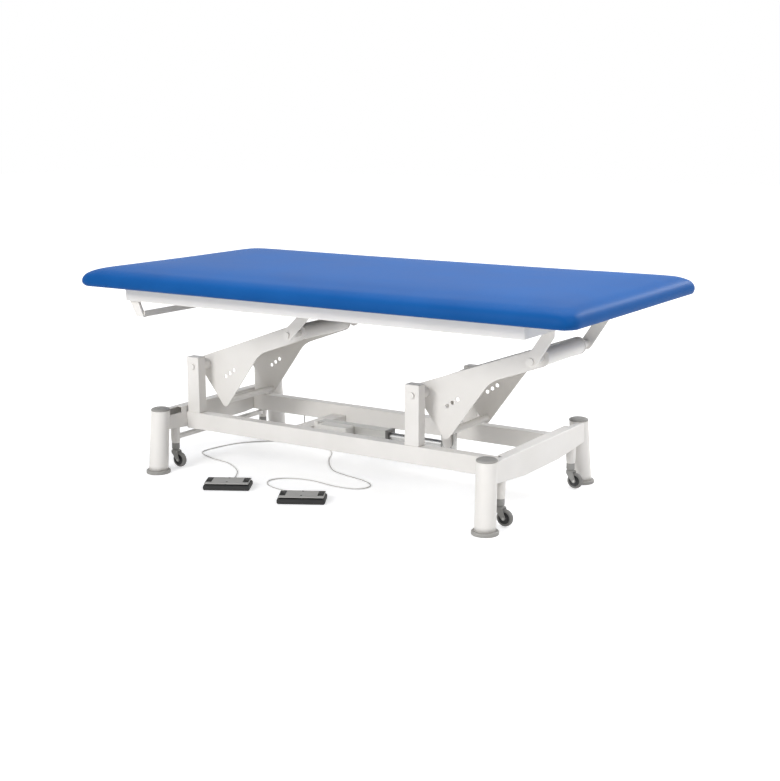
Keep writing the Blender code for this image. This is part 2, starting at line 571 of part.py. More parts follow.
levels = [(BOARD_INSET, board_top + FIT), (BOARD_INSET, PAD_UNDERSIDE_Z), (0.020, PAD_UNDERSIDE_Z)]
levels += [(0.011, PAD_UNDERSIDE_Z + 0.003), (0.004, PAD_UNDERSIDE_Z + 0.009), (0.0, PAD_UNDERSIDE_Z + 0.018)]
swell_z = PAD_TOP_Z - PAD_CROWN - levels[-1][1]
for a in np.radians(np.linspace(12, 90, 8)):
    levels.append((0.085 * (1 - math.cos(a)), levels[5][1] + swell_z * math.sin(a)))
levels += [(0.16, PAD_TOP_Z - PAD_CROWN * 0.55), (0.30, PAD_TOP_Z - PAD_CROWN * 0.12), (0.42, PAD_TOP_Z)]
verts = []
for inset, z in levels:
    verts += [(x, y, z) for x, y in rounded(inset, PAD_CORNER_RADIUS, 10)]
count = 40
faces = [tuple(range(count))]
for level in range(len(levels) - 1):
    for i in range(count):
        j = (i + 1) % count
        base = level * count
        faces.append((base + i, base + j, base + count + j, base + count + i))
last = (len(levels) - 1) * count
faces.append(tuple(range(last, last + count)))
mesh = bpy.data.meshes.new("pad")
mesh.from_pydata(verts, [], faces)
bm = bmesh.new()
bm.from_mesh(mesh)
bmesh.ops.recalc_face_normals(bm, faces=bm.faces)
bm.to_mesh(mesh)
bm.free()
mesh.polygons.foreach_set("use_smooth", [True] * len(mesh.polygons))
to_top(add_object("pad", mesh, VINYL))

# Actuator: rear bracket, profile tube with the motor beside it, push rod ending in a slotted yoke.
half = ACTUATOR_PROFILE / 2
face = oblong((-half, ACTUATOR_Z - half), (half, ACTUATOR_Z + half))
bore = ring((0, ACTUATOR_Z), ROD_RADIUS + RUN, 28)
profile = prism("actuator_profile", PALE, [face, bore], "X", ACTUATOR_REAR_X, ACTUATOR_FRONT_X)
front = [oblong((-half - 0.002, ACTUATOR_Z - half - 0.002), (half + 0.002, ACTUATOR_Z + half + 0.002)), bore]
cap = prism("front_cap", None, front, "X", ACTUATOR_FRONT_X - 0.002, ACTUATOR_FRONT_X + 0.016)
combine(profile, cap, "UNION")
motor_low = (-0.225, -half - FIT - 0.052, ACTUATOR_Z - half)
motor_high = (-0.100, -half - FIT, ACTUATOR_Z + half + 0.004)
soften(box("actuator_motor", WHITE, motor_low, motor_high), 0.005, 2)
rod_axis = holder("rod_axis", (ROD_REAR_X, 0, ACTUATOR_Z))
rod_end = LEVER_PIN_X - YOKE_HALF
shank = [ring((0, 0), ROD_RADIUS, 28)]
rod = prism("actuator_rod", STEEL, shank, "X", 0.0, rod_end + 0.003 - ROD_REAR_X, rod_axis)
slot_half = LEVER_PIN_RADIUS + YOKE_SLOT_PLAY
pin_x = LEVER_PIN_X - ROD_REAR_X
plate = oblong((pin_x - YOKE_HALF, YOKE_LOW_Z - ACTUATOR_Z), (pin_x + YOKE_HALF, YOKE_HIGH_Z - ACTUATOR_Z))
slot_low = YOKE_LOW_Z + 0.016 - ACTUATOR_Z
slot_high = YOKE_HIGH_Z - 0.016 - ACTUATOR_Z
slot = oblong((pin_x - slot_half, slot_low), (pin_x + slot_half, slot_high))
combine(rod, prism("yoke", None, [plate, slot], "Y", -0.006, 0.006, rod_axis), "UNION")

# Control box on the outer face of the far rail, with the glands of the two switch cords below it.
wall_y = RAIL_OUTER_Y + FIT
case = box("control_box", PALE, (-0.56, wall_y, 0.141), (-0.39, wall_y + 0.055, 0.183))
soften(case, 0.004, 2)
GLAND_Y = wall_y + 0.028
GLAND_LOW_Z = 0.133
GLANDS = (-0.51, -0.44)
for x in GLANDS:
    combine(case, prism("gland", None, [ring((x, GLAND_Y), 0.007, 16)], "Z", GLAND_LOW_Z, 0.147), "UNION")
inlet = box("inlet", None, (-0.392, wall_y + 0.012, 0.152), (-0.375, wall_y + 0.042, 0.178))
combine(case, inlet, "UNION")

# Foot switches: a low black base with a pivot ridge and a rocking plate on it.
for place, name in ((SWITCH_ONE, "one"), (SWITCH_TWO, "two")):
    spot = holder("switch_place_" + name, (place[0], place[1], 0), (0, 0, SWITCH_TURN))
    half_l = SWITCH_LENGTH / 2
    half_d = SWITCH_DEPTH / 2
    low = (-half_l, -half_d, 0.0005)
    high = (half_l, half_d, SWITCH_BASE_HEIGHT)
    body = box("switch_base_" + name, DARK, low, high, spot, edge=0.004)
    ridge_low = (-0.003, -half_d + 0.006, SWITCH_BASE_HEIGHT - 0.002)
    ridge = box("ridge", None, ridge_low, (0.003, half_d - 0.006, ROCKER_UNDERSIDE_Z - FIT), spot)
    combine(body, ridge, "UNION")
    rock = holder("rocker_axis_" + name, (0, 0, ROCKER_UNDERSIDE_Z), parent=spot)
    low = (-half_l + 0.004, -half_d + 0.003, 0.0)
    high = (half_l - 0.004, half_d - 0.003, ROCKER_THICKNESS)
    box("switch_rocker_" + name, PALE, low, high, rock, edge=0.0015)


# Cords: a smooth line through hand-chosen points, from a gland down to the floor and to a switch.
def smooth_route(points, count):
    points = np.array(points, float)
    padded = np.vstack([2 * points[0] - points[1], points, 2 * points[-1] - points[-2]])
    pieces = []
    for i in range(len(points) - 1):
        p0, p1, p2, p3 = padded[i:i + 4]
        t = np.linspace(0, 1, 24, endpoint=False)[:, None]
        bend = (2 * p0 - 5 * p1 + 4 * p2 - p3) * t ** 2 + (3 * p1 - p0 - 3 * p2 + p3) * t ** 3
        pieces.append(0.5 * (2 * p1 + (p2 - p0) * t + bend))
    line = np.vstack(pieces + [points[-1:]])
    steps = np.concatenate([[0], np.cumsum(np.linalg.norm(np.diff(line, axis=0), axis=1))])
    even = np.linspace(0, steps[-1], count)
    return np.column_stack([np.interp(even, steps, line[:, k]) for k in range(3)])


FLOOR_Z = CORD_RADIUS + 0.0006
gland_end = GLAND_LOW_Z - FIT


def switch_back(place, along):
    back = SWITCH_DEPTH / 2 + FIT
    x = place[0] + along * math.cos(SWITCH_TURN) - back * math.sin(SWITCH_TURN)
    y = place[1] + along * math.sin(SWITCH_TURN) + back * math.cos(SWITCH_TURN)
    return np.array((x, y, 0.012))


outward = np.array((-math.sin(SWITCH_TURN), math.cos(SWITCH_TURN), 0))
ROUTE_ONE = [(-0.520, 0.255), (-0.600, 0.262), (-0.682, 0.212), (-0.747, 0.137), (-0.777, 0.040),
             (-0.775, -0.053), (-0.688, -0.100), (-0.591, -0.124), (-0.500, -0.185), (-0.452, -0.250)]
ROUTE_TWO = [(-0.415, 0.250), (-0.358, 0.205), (-0.296, 0.099), (-0.211, 0.003), (-0.136, -0.029),
             (-0.048, -0.052), (0.005, -0.081), (0.022, -0.118), (-0.004, -0.158), (-0.083, -0.168),
             (-0.201, -0.152), (-0.285, -0.176), (-0.318, -0.225), (-0.290, -0.275), (-0.230, -0.300)]
for name, gland, route, place, along, count in (("one", GLANDS[0], ROUTE_ONE, SWITCH_ONE, 0.0, 76),
                                                ("two", GLANDS[1], ROUTE_TWO, SWITCH_TWO, -0.035, 80)):
    points = [(gland, GLAND_Y, gland_end), (gland, GLAND_Y, gland_end - 0.03), (gland, GLAND_Y + 0.002, 0.03)]
    points += [(x, y, FLOOR_Z) for x, y in route]
    last = switch_back(place, along)
    landing = last + 0.045 * outward
    points += [(landing[0], landing[1], FLOOR_Z), tuple(last + 0.016 * outward), tuple(last)]
    line = smooth_route(points, count)
    line[:, 2] = np.maximum(line[:, 2], FLOOR_Z)
    curve = bpy.data.curves.new("cord_" + name, "CURVE")
    curve.dimensions = "3D"
    curve.bevel_depth = CORD_RADIUS
    curve.bevel_resolution = 2
    curve.use_fill_caps = True
    spline = curve.splines.new("POLY")
    spline.points.add(count - 1)
    for point, spot in zip(spline.points, line):
        point.co = (*spot, 1.0)
    curve.materials.append(PALE)
    cord = bpy.data.objects.new("switch_cord_" + name, curve)
    parts.objects.link(cord)

for piece in parts.objects:
    if piece.type == "MESH" and piece.name.startswith(("arm_hub", "arm_tie", "actuator_rod", "castor_wheel")):
        piece.data.shade_smooth()
        piece.data.set_sharp_from_angle(angle=math.radians(40))
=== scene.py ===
import math

import bpy
import numpy as np
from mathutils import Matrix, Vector


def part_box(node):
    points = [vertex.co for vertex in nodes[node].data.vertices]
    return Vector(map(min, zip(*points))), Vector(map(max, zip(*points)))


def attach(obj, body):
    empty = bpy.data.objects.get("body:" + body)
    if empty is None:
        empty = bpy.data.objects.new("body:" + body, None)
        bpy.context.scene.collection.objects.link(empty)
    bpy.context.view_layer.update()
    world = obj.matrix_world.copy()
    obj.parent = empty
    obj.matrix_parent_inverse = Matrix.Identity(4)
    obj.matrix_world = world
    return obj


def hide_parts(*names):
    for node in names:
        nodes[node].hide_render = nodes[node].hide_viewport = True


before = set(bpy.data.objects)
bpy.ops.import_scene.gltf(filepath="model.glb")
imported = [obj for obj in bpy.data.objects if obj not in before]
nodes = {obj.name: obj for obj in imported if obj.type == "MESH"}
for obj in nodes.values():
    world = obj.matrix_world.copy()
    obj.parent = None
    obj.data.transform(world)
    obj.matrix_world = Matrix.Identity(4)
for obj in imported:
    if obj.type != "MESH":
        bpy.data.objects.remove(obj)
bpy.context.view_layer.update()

# Camera: stands at the near right of the table, a little above the pad, about four and a half
# metres away, with the long lens of a product picture. The frame is 780 by 781 pixels.
lens = bpy.data.cameras.new("camera")
lens.sensor_fit = "HORIZONTAL"
lens.sensor_width = 36.0
lens.lens = 61.58
camera = bpy.data.objects.new("camera", lens)
camera.location = (2.4686, -3.7905, 1.2551)
look = Vector((0.0351, 0.0, 0.3229)) - camera.location
camera.rotation_euler = look.to_track_quat("-Z", "Y").to_euler()
bpy.context.scene.collection.objects.link(camera)
bpy.context.scene.camera = camera
bpy.context.scene.view_settings.view_transform = "Standard"


# Foot-switch cords: round grey PVC cable, 5 mm thick, from the glands under the control box to the
# backs of the switches. They drop to the floor and lie on it in loose bends.
def linear(code):
    """Turns an sRGB hex colour into linear RGBA."""
    srgb = np.array([int(code[i:i + 2], 16) for i in (1, 3, 5)]) / 255
    value = np.where(srgb <= 0.04045, srgb / 12.92, ((srgb + 0.055) / 1.055) ** 2.4)
    return (*[float(v) for v in value], 1.0)


def add(tree, kind, values=None, links=None, **settings):
    """Adds one shader node with its own settings, its socket constants and its incoming links."""
    node = tree.nodes.new(kind)
    for name, value in settings.items():
        setattr(node, name, value)
    for name, value in (values or {}).items():
        node.inputs[name].default_value = value
    for name, source in (links or {}).items():
        tree.links.new(source, node.inputs[name])
    return node


def finish_named(name, roughness, metallic=0.0, ior=1.5):
    """Starts a material: returns it with its tree, its shader and its Object coordinates."""
    made = bpy.data.materials.new(name)
    made.use_nodes = True
    tree = made.node_tree
    shader = tree.nodes["Principled BSDF"]
    shader.inputs["Roughness"].default_value = roughness
    shader.inputs["Metallic"].default_value = metallic
    if not metallic:
        shader.inputs["IOR"].default_value = ior
    return made, tree, shader, add(tree, "ShaderNodeTexCoord").outputs["Object"]


def tint(tree, shader, drive, tones, ends=(0.0, 1.0)):
    """Links a two-tone colour ramp to a shader's base colour, driven by a grey value."""
    shade = add(tree, "ShaderNodeValToRGB", links={"Fac": drive})
    for element, end, tone in zip(shade.color_ramp.elements, ends, tones):
        element.position = end
        element.color = linear(tone)
    tree.links.new(shade.outputs["Color"], shader.inputs["Base Color"])
    return shade.outputs["Color"]


def emboss(tree, shader, height, strength, distance=0.0004):
    """Links a bump to a shader's normal."""
    bump = add(tree, "ShaderNodeBump", {"Strength": strength, "Distance": distance}, {"Height": height})
    tree.links.new(bump.outputs["Normal"], shader.inputs["Normal"])


def noise(tree, place, scale, detail=2.0):
    """Grey noise in Object coordinates."""
    made = add(tree, "ShaderNodeTexNoise", {"Scale": scale, "Detail": detail}, {"Vector": place})
    return made.outputs["Fac"]


def moulded(name, roughness, ior, scale, detail, tones, skin=None):
    """A moulded material: a cloudy two-tone colour and, where skin gives a scale and a strength, a
    fine matt surface."""
    made, tree, shader, place = finish_named(name, roughness, ior=ior)
    tint(tree, shader, noise(tree, place, scale, detail), tones)
    if skin:
        emboss(tree, shader, noise(tree, place, skin[0]), skin[1])
    return made


# Plasticised PVC, extruded: an even satin grey with faint cloudy soiling from the floor.
cord_pvc = moulded("extruded_pvc_cord", 0.48, 1.53, 14.0, 3.0, ("#D6D5D2", "#E6E5E2"), (420.0, 0.06))

SWITCH_TURN = math.radians(29.5)
SWITCHES = {"one": (-0.386, -0.373), "two": (-0.074, -0.369)}
SWITCH_DEPTH = 0.085
CORD_RADIUS = 0.0025
CORD_FLOOR_Z = CORD_RADIUS + 0.0006
CORD_ENTRY_Z = 0.012
GLAND_Y, GLAND_END_Z = 0.2413, 0.1327
ROUTES = {
    "one": [(-0.520, 0.255), (-0.600, 0.262), (-0.682, 0.212), (-0.747, 0.137), (-0.777, 0.040),
            (-0.775, -0.053), (-0.688, -0.100), (-0.591, -0.124), (-0.500, -0.185), (-0.452, -0.250)],
    "two": [(-0.415, 0.250), (-0.358, 0.205), (-0.296, 0.099), (-0.211, 0.003), (-0.136, -0.029),
            (-0.048, -0.052), (0.005, -0.081), (0.022, -0.118), (-0.004, -0.158), (-0.083, -0.168),
            (-0.201, -0.152), (-0.285, -0.176), (-0.318, -0.225), (-0.290, -0.275), (-0.230, -0.300)],
}


def smooth_route(points, count):
    """Catmull-Rom curve through the route points, read off at even steps of its length."""
    p = np.array(points, float)
    p = np.vstack([2 * p[0] - p[1], p, 2 * p[-1] - p[-2]])
    a, b, c, d = p[:-3, None], p[1:-2, None], p[2:-1, None], p[3:, None]
    t = np.linspace(0, 1, 24, endpoint=False)[None, :, None]
    bend = (2 * a - 5 * b + 4 * c - d) * t ** 2 + (3 * b - a - 3 * c + d) * t ** 3
    line = 0.5 * (2 * b + (c - a) * t + bend)
    line = np.vstack([line.reshape(-1, 3), p[-2:-1]])
    run = np.concatenate([[0], np.cumsum(np.linalg.norm(np.diff(line, axis=0), axis=1))])
    even = np.linspace(0, run[-1], count)
    return np.column_stack([np.interp(even, run, line[:, k]) for k in range(3)])


out = np.array((-math.sin(SWITCH_TURN), math.cos(SWITCH_TURN), 0.0))
along_switch = np.array((math.cos(SWITCH_TURN), math.sin(SWITCH_TURN), 0.0))
for name, gland_x, shift, count in (("one", -0.51, 0.0, 76), ("two", -0.44, -0.035, 80)):
    entry = np.array((*SWITCHES[name], CORD_ENTRY_Z)) + shift * along_switch
    last = entry + (SWITCH_DEPTH / 2 + 0.0003) * out
    landing = last + 0.045 * out
    points = [(gland_x, GLAND_Y, GLAND_END_Z), (gland_x, GLAND_Y, GLAND_END_Z - 0.03)]
    points += [(gland_x, GLAND_Y + 0.002, 0.03)]
    points += [(x, y, CORD_FLOOR_Z) for x, y in ROUTES[name]]
    points += [(landing[0], landing[1], CORD_FLOOR_Z), tuple(last + 0.016 * out), tuple(last)]
    line = smooth_route(points, count)
    line[:, 2] = np.maximum(line[:, 2], CORD_FLOOR_Z)
    curve = bpy.data.curves.new("switch_cord_" + name + "_jacket", "CURVE")
    curve.dimensions = "3D"
    curve.bevel_depth = CORD_RADIUS
    curve.bevel_resolution = 4
    curve.use_fill_caps = True
    spline = curve.splines.new("POLY")
    spline.points.add(count - 1)
    spline.points.foreach_set("co", np.column_stack([line, np.ones(count)]).ravel())
    spline.use_smooth = True
    curve.materials.append(cord_pvc)
    cord = bpy.data.objects.new("switch_cord_" + name + "_jacket", curve)
    bpy.context.scene.collection.objects.link(cord)
    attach(cord, "base")
    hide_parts("switch_cord_" + name)


# Pad: foam on a board under one sheet of imitation leather, drawn round the edges and stapled
# below. The top is softly crowned and the long edges roll over a wide radius.
PAD_LENGTH, PAD_WIDTH, PAD_LOW, PAD_HIGH = 1.90, 1.00, 0.672, 0.7325
PAD_CORNER, PAD_CROWN = 0.05, 0.003
PAD_VOXEL = 0.014
CLOTH_STEPS, CLOTH_REACH = 20, 0.009
inset = np.array([0.040, 0.011, 0.005, 0.003, 0.002, 0.002])
level = np.array([0.0, 0.0, 0.002, 0.006, 0.015, 0.029]) + PAD_LOW
swell = np.radians(np.linspace(8, 90, 12))
inset = np.concatenate([inset, 0.056 * (1 - np.cos(swell)) + 0.002, [0.13, 0.28, 0.42]])
roll = level[-1] + (PAD_HIGH - PAD_CROWN - level[-1]) * np.sin(swell)
level = np.concatenate([level, roll, PAD_HIGH - PAD_CROWN * np.array([0.55, 0.12, 0.0])])


def pad_rings(inset, level, segments):
    """Rounded rectangles stacked from the underside to the crown: each ring is the pad's outline
    moved in by its inset, with a corner radius that shrinks slowly towards the crown."""
    turn = np.radians(np.concatenate([np.linspace(a, a + 90, segments) for a in (-90, 0, 90, 180)]))
    side_x = np.repeat([1, 1, -1, -1], segments)
    side_y = np.repeat([-1, 1, 1, -1], segments)
    radius = np.maximum(PAD_CORNER - 0.15 * inset, 0.03)[:, None]
    x = side_x * (PAD_LENGTH / 2 - inset[:, None] - radius) + radius * np.cos(turn)
    y = side_y * (PAD_WIDTH / 2 - inset[:, None] - radius) + radius * np.sin(turn)
    return np.stack([x, y, np.broadcast_to(level[:, None], x.shape)], axis=-1)


def grid_mesh(name, grid, wrap_u=False, wrap_v=False, cap=False):
    """Makes a mesh of quads from a grid of points; cap closes the first and the last row."""
    rows, cols = grid.shape[:2]
    i, j = np.meshgrid(np.arange(rows - (not wrap_u)), np.arange(cols - (not wrap_v)), indexing="ij")
    i2, j2 = (i + 1) % rows, (j + 1) % cols
    quads = np.stack([i * cols + j, i * cols + j2, i2 * cols + j2, i2 * cols + j], axis=-1)
    faces = quads.reshape(-1, 4).tolist()
    if cap:
        faces += [list(range(cols))[::-1], list(range((rows - 1) * cols, rows * cols))]
    mesh = bpy.data.meshes.new(name)
    mesh.from_pydata(grid.reshape(-1, 3).tolist(), [], faces)
    mesh.polygons.foreach_set("use_smooth", np.ones(len(mesh.polygons), bool))
    mesh.update()
    return mesh


def stand(name, mesh, body, look):
    """Puts a finished mesh in the scene as a piece that rides on a body."""
    mesh.materials.clear()
    mesh.materials.append(look)
    made = bpy.data.objects.new(name, mesh)
    bpy.context.scene.collection.objects.link(made)
    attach(made, body)
    return made


# Imitation leather: PVC on knit, calendered with a fine pebble grain of about 1 mm, drawn here
# near 5 mm so that it shows. Satin, saturated blue, paler where light grazes the crown.
vinyl, tree, shader, place = finish_named("imitation_leather_blue", 0.46, ior=1.5)
cloud = noise(tree, place, 5.0, 4.0)
tint(tree, shader, cloud, ("#0E4C8D", "#145396"), (0.3, 0.7))
pebble = add(tree, "ShaderNodeTexVoronoi", {"Scale": 200.0}, {"Vector": place}, feature="SMOOTH_F1")
grain = add(tree, "ShaderNodeMath", {1: 0.4}, {0: noise(tree, place, 60.0), 2: pebble.outputs["Distance"]},
            operation="MULTIPLY_ADD")
emboss(tree, shader, grain.outputs["Value"], 0.12, 0.001)
gloss = add(tree, "ShaderNodeMapRange", {"To Min": 0.42, "To Max": 0.5}, {"Value": cloud})
tree.links.new(gloss.outputs["Result"], shader.inputs["Roughness"])
shader.inputs["Specular IOR Level"].default_value = 0.055

pad_mesh = grid_mesh("pad_form", pad_rings(inset, level, 24), wrap_v=True, cap=True)
form = bpy.data.objects.new("pad_form", pad_mesh)
pad = stand("pad_cover", pad_mesh.copy(), "top", vinyl)
bpy.context.scene.collection.objects.link(form)
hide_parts("pad")
remesh = pad.modifiers.new("even", "REMESH")
remesh.mode = "VOXEL"
remesh.voxel_size = PAD_VOXEL
remesh.use_smooth_shade = True
back = pad.modifiers.new("back_on_form", "SHRINKWRAP")
back.target = form
seen = pad.evaluated_get(bpy.context.evaluated_depsgraph_get())
even = bpy.data.meshes.new_from_object(seen)
pad.modifiers.clear()
pad.data = even
bpy.data.objects.remove(form)
count = len(even.vertices)
before = np.empty(count * 3)
even.vertices.foreach_get("co", before)
before = before.reshape(-1, 3)
held = pad.vertex_groups.new(name="stapled")
below = np.flatnonzero(before[:, 2] < PAD_LOW + 0.012)
held.add(below.tolist(), 1.0, "REPLACE")
cloth = pad.modifiers.new("stuffing", "CLOTH")
cloth.settings.quality = 4
cloth.settings.mass = 0.4
cloth.settings.tension_stiffness = 25
cloth.settings.compression_stiffness = 25
cloth.settings.bending_stiffness = 1.5
cloth.settings.use_pressure = True
cloth.settings.uniform_pressure_force = 4
cloth.settings.vertex_group_mass = "stapled"
cloth.settings.effector_weights.gravity = 0
cloth.collision_settings.use_collision = False
cloth.point_cache.frame_end = CLOTH_STEPS
for step in range(1, CLOTH_STEPS + 1):
    bpy.context.scene.frame_set(step)
seen = pad.evaluated_get(bpy.context.evaluated_depsgraph_get())
after = np.empty(count * 3)
seen.data.vertices.foreach_get("co", after)
move = after.reshape(-1, 3) - before
size = np.linalg.norm(move, axis=1, keepdims=True)
move *= np.minimum(1.0, CLOTH_REACH / np.maximum(size, 1e-9))
pad.modifiers.clear()
edge = np.empty(len(even.edges) * 2, int)
even.edges.foreach_get("vertices", edge)
edge = edge.reshape(-1, 2)
pairs = np.concatenate([edge, edge[:, ::-1]])
joined = np.bincount(pairs[:, 0], minlength=count)[:, None]

def evened(values, times):
    """Moves every point's value half way to the mean of its neighbours, a number of times."""
    for step in range(times):
        mean = [np.bincount(pairs[:, 0], values[pairs[:, 1], k], count) for k in range(3)]
        values = 0.5 * (values + np.column_stack(mean) / joined)
    return values

after = before + evened(move, 60)
free = before[:, 2] > PAD_LOW + 0.030
after[free] = evened(after, 4)[free]
even.vertices.foreach_set("co", after.ravel())
even.update()
bpy.context.scene.frame_set(1)
finer = pad.modifiers.new("finer", "SUBSURF")
finer.levels = finer.render_levels = 1


# Board: plywood that carries the pad, closed below with black spun-bonded cloth.
# Only its underside shows, between the frame tubes.
def dress(name, look):
    """Gives a CAD node its one material."""
    nodes[name].data.materials.clear()
    nodes[name].data.materials.append(look)


spun, tree, shader, place = finish_named("spun_bonded_cloth", 0.85)
fibre = add(tree, "ShaderNodeTexNoise", {"Scale": 260.0, "Detail": 6.0, "Roughness": 0.7}, {"Vector": place})
tint(tree, shader, fibre.outputs["Fac"], ("#17171A", "#2E2E31"))
emboss(tree, shader, fibre.outputs["Fac"], 0.3, 0.0005)
dress("pad_board", spun)

# Frame, base and arms: welded tube and laser-cut plate under off-white powder coat. The coat is
# satin with a slight orange peel of about 3 mm, drawn near 6 mm so that it shows.
coat, tree, shader, place = finish_named("powder_coat_white", 0.38, ior=1.52)
cloud = noise(tree, place, 6.0, 5.0)
tint(tree, shader, cloud, ("#E6E3DE", "#EFECE8"), (0.25, 0.75))
emboss(tree, shader, noise(tree, place, 150.0, 1.0), 0.07, 0.0006)
gloss = add(tree, "ShaderNodeMapRange", {"To Min": 0.33, "To Max": 0.46}, {"Value": cloud})
tree.links.new(gloss.outputs["Result"], shader.inputs["Roughness"])
coated = ("base_", "post_", "end_beam_", "castor_bar_", "arm_", "top_", "hanger_", "roll_holder")
for name in nodes:
    if name.startswith(coated):
        dress(name, coat)


# Legs: round tapered tubes in the same coat, each closed by a grey moulded cap with a lip and
# standing in a grey foot ring.
def turned(profile, centre, steps=64, axis="Z"):
    """A profile of (radius, height) rows carried round an axis through a centre point."""
    turn = np.linspace(0, 2 * math.pi, steps, endpoint=False)
    r, h = np.array(profile, float).T
    a, b = np.outer(r, np.cos(turn)), np.outer(r, np.sin(turn))
    c = np.broadcast_to(h[:, None], a.shape)
    order = {"Z": (a, b, c), "Y": (b, c, a)}[axis]
    return np.stack(order, axis=-1) + np.array(centre, float)


# Polypropylene, moulded with a spark-eroded matt skin: even mid grey with soft highlights.
grey_pp = moulded("moulded_grey_polypropylene", 0.55, 1.49, 30.0, 3.0, ("#94928E", "#A9A7A3"), (400.0, 0.1))

LEG_TOP, LEG_BOTTOM, LEG_SPLAY = 0.033, 0.0342, 0.0905
LEG_LEAN_IN = {"left": 0.0, "right": -0.038}
TUBE_HIGH, FOOT_HIGH = 0.2235, 0.012


def leaning(profile, foot, lean):
    """A turned shape whose rings shift sideways by the lean times their height above the floor."""
    shape = turned(profile, (foot[0], foot[1], 0))
    return shape + shape[..., 2:] * np.array((lean[0], lean[1], 0.0))


for side, tilt in (("near", LEG_SPLAY), ("far", -LEG_SPLAY)):
    for end, lean_in in LEG_LEAN_IN.items():
        key = side + "_" + end
        lean = (lean_in, tilt)
        low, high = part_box("foot_ring_" + key)
        foot = ((low[0] + high[0]) / 2, (low[1] + high[1]) / 2)
        tube = [(0.001, TUBE_HIGH), (LEG_TOP - 0.0012, TUBE_HIGH)]
        tube += [(LEG_TOP - 0.0004, TUBE_HIGH - 0.0004), (LEG_TOP, TUBE_HIGH - 0.0013)]
        tube += [(LEG_TOP + (LEG_BOTTOM - LEG_TOP) * t, 0.2222 - 0.2102 * t) for t in np.linspace(0.02, 1, 12)]
        tube += [(0.001, FOOT_HIGH)]
        mesh = grid_mesh("leg_tube_" + key, leaning(tube[::-1], foot, lean), wrap_v=True, cap=True)
        leg = stand("leg_tube_" + key, mesh, "base", coat)
        dome = np.radians(np.linspace(0, 88, 9))
        lid = [(0.001, 0.2238), (LEG_TOP - 0.001, 0.2238)]
        lid += [(LEG_TOP + 0.0002, 0.2246), (LEG_TOP + 0.0004, 0.2262)]
        lid += [((LEG_TOP + 0.0004) * np.cos(a), 0.2272 + 0.0086 * np.sin(a)) for a in dome]
        mesh = grid_mesh("leg_cap_" + key, leaning(lid, foot, lean), wrap_v=True, cap=True)
        stand("leg_cap_" + key, mesh, "base", grey_pp)
        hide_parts("leg_" + key)
        ring = [(0.001, 0.0), (0.0415, 0.0), (0.0428, 0.0012), (0.043, 0.003), (0.043, 0.0085)]
        ring += [(0.0424, 0.0105), (0.041, 0.0117), (0.0385, FOOT_HIGH), (0.0372, FOOT_HIGH)]
        ring += [(0.001, FOOT_HIGH)]
        mesh = grid_mesh("foot_" + key, turned(ring, (*foot, 0)), wrap_v=True, cap=True)
        foot_piece = stand("foot_" + key, mesh, "base", grey_pp)
        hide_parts("foot_ring_" + key)

# Castors: grey wheels of soft rubber on a dark moulded hub, in forks of mid grey nylon that turn in
# the cups of the end beams. The tyre has a rounded tread and a shallow groove beside the hub.
tyre, tree, shader, place = finish_named("moulded_castor_rubber", 0.62, ior=1.52)
dust = noise(tree, place, 45.0, 5.0)
tint(tree, shader, dust, ("#7A7976", "#8C8B88"))
emboss(tree, shader, dust, 0.15, 0.0005)
nylon = moulded("moulded_grey_nylon", 0.45, 1.53, 50.0, 2.0, ("#8F8E8B", "#A09F9C"))
dark_hub = moulded("moulded_black_nylon", 0.5, 1.53, 60.0, 3.0, ("#1E1E1F", "#2D2D2D"))
# Zinc plated steel of the axle nuts: bright, a little cloudy from the plating bath.
zinc, tree, shader, place = finish_named("zinc_plated_steel", 0.32, metallic=1.0)
tint(tree, shader, noise(tree, place, 90.0, 4.0), ("#A9A9A6", "#C9C9C6"))

CASTOR_NUT_Y = 0.0134
for side in ("near", "far"):
    for end in ("left", "right"):
        key = side + "_" + end
        low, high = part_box("castor_wheel_" + key)
        centre = (np.array(low) + np.array(high)) / 2
        bend = np.radians(np.linspace(-80, 80, 11))
        tread = np.column_stack([0.0215 + 0.006 * np.cos(bend), 0.009 * np.sin(bend) / np.sin(bend[-1])])
        rim = [(0.0190, -0.0084), (0.0190, 0.0084)]
        band = np.vstack([rim[:1], tread, rim[1:]])
        mesh = grid_mesh("castor_tyre_" + key, turned(band, centre, 48, "Y"), wrap_u=True, wrap_v=True)
        rubber = stand("castor_tyre_" + key, mesh, "castor_wheel_" + key, tyre)
        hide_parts("castor_wheel_" + key)
        half = [(0.0034, 0.0078), (0.0065, 0.0086), (0.0075, 0.0066), (0.0160, 0.0066), (0.0175, 0.0084)]
        half += [(0.0188, 0.0084)]
        hub = [(r, -h) for r, h in half] + half[::-1]
        mesh = grid_mesh("castor_hub_" + key, turned(hub, centre, 48, "Y"), wrap_u=True, wrap_v=True)
        stand("castor_hub_" + key, mesh, "castor_wheel_" + key, dark_hub)
        for word, face in (("near", -1), ("far", 1)):
            nut = [(0.0003, 0.0), (0.0042, 0.0), (0.0042, 0.0011), (0.0036, 0.0016), (0.0003, 0.0018)]
            shape = turned(nut, (0, 0, 0), 24, "Y") * np.array((1, face, 1)) + centre
            shape = shape + np.array((0, face * CASTOR_NUT_Y, 0))
            mesh = grid_mesh("castor_axle_" + key + "_" + word, shape[:, ::face], wrap_v=True, cap=True)
            stand("castor_axle_" + key + "_" + word, mesh, "castor_fork_" + key, zinc)
        dress("castor_fork_" + key, nylon)

# Pivot shafts: turned steel through each pivot line, coated together with the posts and the straps
# that carry them, so that only the edges of their heads show.
for name in ("lower_shaft_", "upper_shaft_"):
    for end in ("left", "right"):
        dress(name + end, coat)


